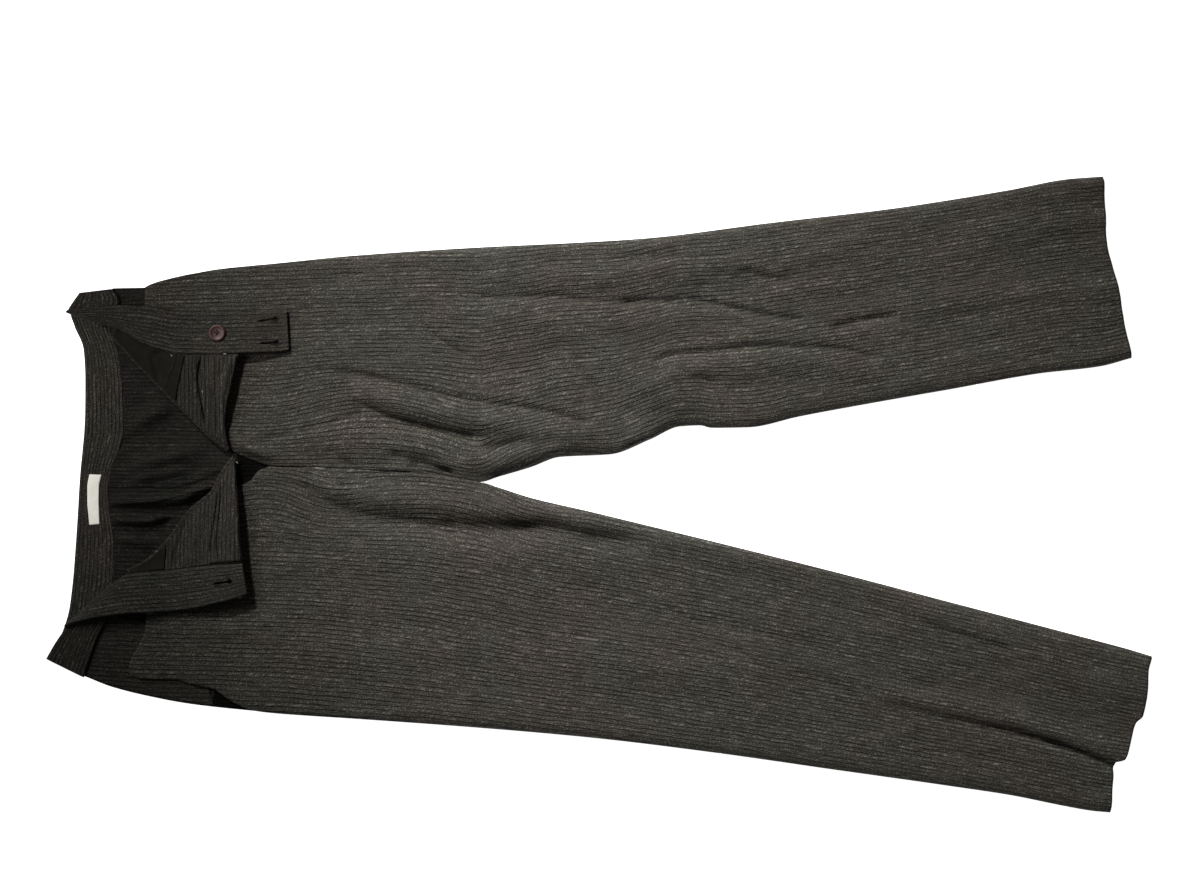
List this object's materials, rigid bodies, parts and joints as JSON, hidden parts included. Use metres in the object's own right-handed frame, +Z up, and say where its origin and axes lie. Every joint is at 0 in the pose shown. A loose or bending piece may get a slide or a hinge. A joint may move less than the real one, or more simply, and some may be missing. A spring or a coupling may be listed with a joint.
{
  "type": "laid-flat trousers",
  "caption": "Dark crinkled pinstripe trousers laid flat front up, waist undone, both fronts turned out along the fly so the inside of the back, pocket bags and waistband show",
  "frame": {"origin": "bottom centre of the garment's bounding box, on the surface it lies on", "axes": "+X from the waist to the hems, +Y to the wearer's left leg, +Z up from the surface, so the wearer's front faces up"},
  "size_m": [1.1066, 0.636, 0.0157],
  "materials": {
    "cloth": "matt crinkled charcoal cloth with fine pale slubby pinstripes along the leg",
    "lining": "plain dark brown pocket cloth",
    "button": "reddish-brown polished button",
    "label": "cream woven tape, bare"
  },
  "bodies": {
    "root": {"back_left": "cloth", "back_right": "cloth", "front_left": "cloth", "front_right": "cloth", "pocket_facing_left": "cloth", "pocket_facing_right": "cloth", "waistband_back": "cloth", "waistband_left": "cloth", "waistband_right": "cloth", "fly_facing": "cloth", "fly_shield": "cloth", "pocket_bag_left": "lining", "pocket_bag_right": "lining", "button_inner": "button", "button_outer_top": "button", "button_outer_low": "button", "label": "label"}
  },
  "joints": []
}
